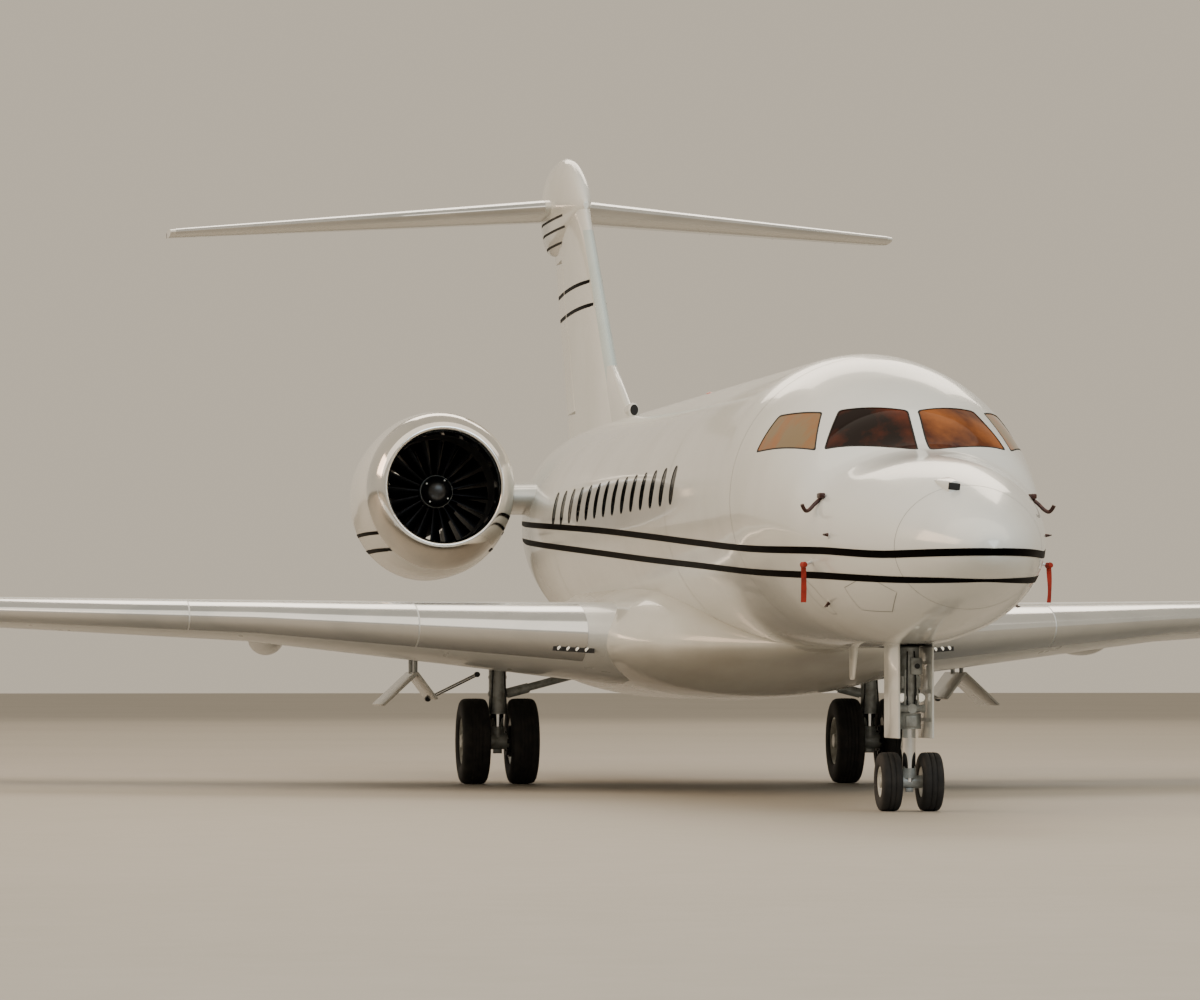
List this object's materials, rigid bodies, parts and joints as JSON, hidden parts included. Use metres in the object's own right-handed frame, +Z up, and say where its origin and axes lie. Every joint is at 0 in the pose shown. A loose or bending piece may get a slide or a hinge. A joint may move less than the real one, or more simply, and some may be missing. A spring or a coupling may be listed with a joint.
{
  "type": "business jet",
  "caption": "Twin-engine long-range business jet on its landing gear, with a hollow cabin, steerable nose wheels, turning fans, moving tail and wing surfaces and an airstair door.",
  "frame": {"origin": "on the ground, on the centreline, at half the overall length", "axes": "+Y aft along the fuselage, +X to port, +Z up"},
  "size_m": [28.6024, 30.3, 7.6785],
  "materials": {
    "white_paint": "white gloss paint on aluminium skin",
    "radome_skin": "white gloss paint on a composite shell",
    "wing_skin": "grey paint with a bare polished leading edge",
    "cowl": "white paint with a polished lip",
    "engine_metal": "dark heat-stained metal",
    "fan_metal": "dark satin metal",
    "cockpit_glass": "dark amber-reflecting glass",
    "gear_metal": "grey painted steel",
    "wheel_metal": "pale painted alloy",
    "floor_panel": "carpeted composite panel",
    "cabin_trim": "pale veneered cabinet panels",
    "tyre": "black rubber"
  },
  "bodies": {
    "airframe": {"radome": "radome_skin", "cockpit_section": "white_paint", "windscreen_left": "cockpit_glass", "windscreen_right": "cockpit_glass", "side_window_left": "cockpit_glass", "side_window_right": "cockpit_glass", "forward_fuselage": "white_paint", "centre_fuselage": "white_paint", "aft_fuselage": "white_paint", "tail_cone": "white_paint", "cabin_floor": "floor_panel", "galley": "cabin_trim", "forward_closet": "cabin_trim", "belly_fairing": "white_paint", "wing_left": "wing_skin", "wing_right": "wing_skin", "flap_left": "wing_skin", "flap_right": "wing_skin", "winglet_left": "wing_skin", "winglet_right": "wing_skin", "fin": "white_paint", "tail_bullet": "white_paint", "stabiliser_left": "white_paint", "stabiliser_right": "white_paint", "pylon_left": "wing_skin", "pylon_right": "wing_skin", "nacelle_left": "cowl", "nacelle_right": "cowl", "engine_left": "engine_metal", "engine_right": "engine_metal", "main_gear_leg_left": "gear_metal", "main_gear_leg_right": "gear_metal", "main_gear_door_left": "white_paint", "main_gear_door_right": "white_paint", "nose_gear_leg": "gear_metal", "nose_gear_door_left": "white_paint", "nose_gear_door_right": "white_paint"},
    "entry_door": {"entry_door": "white_paint"},
    "nose_steering": {"nose_steering": "gear_metal"},
    "nose_wheels": {"nose_axle": "wheel_metal", "nose_tyre_left": "tyre", "nose_tyre_right": "tyre"},
    "main_wheels_left": {"main_left_axle": "wheel_metal", "main_left_tyre_left": "tyre", "main_left_tyre_right": "tyre"},
    "main_wheels_right": {"main_right_axle": "wheel_metal", "main_right_tyre_left": "tyre", "main_right_tyre_right": "tyre"},
    "fan_left": {"fan_left": "fan_metal"},
    "fan_right": {"fan_right": "fan_metal"},
    "rudder": {"rudder": "white_paint"},
    "elevator_left": {"elevator_left": "white_paint"},
    "elevator_right": {"elevator_right": "white_paint"},
    "aileron_left": {"aileron_left": "wing_skin"},
    "aileron_right": {"aileron_right": "wing_skin"}
  },
  "joints": [
    {"name": "entry_door_hinge", "type": "hinge", "parent": "airframe", "child": "entry_door", "pos_m": [1.07, -9.215, 1.956], "axis": [0, 1, 0], "range_deg": [0, 128]},
    {"name": "nose_gear_steering", "type": "hinge", "parent": "airframe", "child": "nose_steering", "pos_m": [0, -11.52, 0.8], "axis": [0, 0, 1], "range_deg": [-65, 65]},
    {"name": "nose_wheel_spin", "type": "hinge", "parent": "nose_steering", "child": "nose_wheels", "pos_m": [0, -11.52, 0.258], "axis": [1, 0, 0], "continuous": true},
    {"name": "main_wheel_spin_left", "type": "hinge", "parent": "airframe", "child": "main_wheels_left", "pos_m": [2.056, 1.254, 0.465], "axis": [1, 0, 0], "continuous": true},
    {"name": "main_wheel_spin_right", "type": "hinge", "parent": "airframe", "child": "main_wheels_right", "pos_m": [-2.056, 1.254, 0.465], "axis": [1, 0, 0], "continuous": true},
    {"name": "fan_spin_left", "type": "hinge", "parent": "airframe", "child": "fan_left", "pos_m": [2.34, 3.83, 3.32], "axis": [0, 0.999, -0.0436], "continuous": true},
    {"name": "fan_spin_right", "type": "hinge", "parent": "airframe", "child": "fan_right", "pos_m": [-2.34, 3.83, 3.32], "axis": [0, 0.999, -0.0436], "continuous": true},
    {"name": "rudder_hinge", "type": "hinge", "parent": "airframe", "child": "rudder", "pos_m": [0, 9.46064, 4.43], "axis": [0, 0.5725, 0.8199], "range_deg": [-25, 25]},
    {"name": "elevator_hinge_left", "type": "hinge", "parent": "airframe", "child": "elevator_left", "pos_m": [0.52, 12.96051, 7.06369], "axis": [0.9179, 0.3959, -0.0274], "range_deg": [-20, 25]},
    {"name": "elevator_hinge_right", "type": "hinge", "parent": "airframe", "child": "elevator_right", "pos_m": [-0.52, 12.96051, 7.06369], "axis": [0.9179, -0.3959, 0.0274], "range_deg": [-20, 25]},
    {"name": "aileron_hinge_left", "type": "hinge", "parent": "airframe", "child": "aileron_left", "pos_m": [9.7, 4.25312, 1.94649], "axis": [0.8722, 0.4885, 0.0241], "range_deg": [-20, 20]},
    {"name": "aileron_hinge_right", "type": "hinge", "parent": "airframe", "child": "aileron_right", "pos_m": [-9.7, 4.25312, 1.94649], "axis": [0.8722, -0.4885, -0.0241], "range_deg": [-20, 20]}
  ],
  "couplings": [
    {"joint": "elevator_hinge_right", "follows": "elevator_hinge_left", "ratio": 1},
    {"joint": "aileron_hinge_right", "follows": "aileron_hinge_left", "ratio": -1}
  ]
}
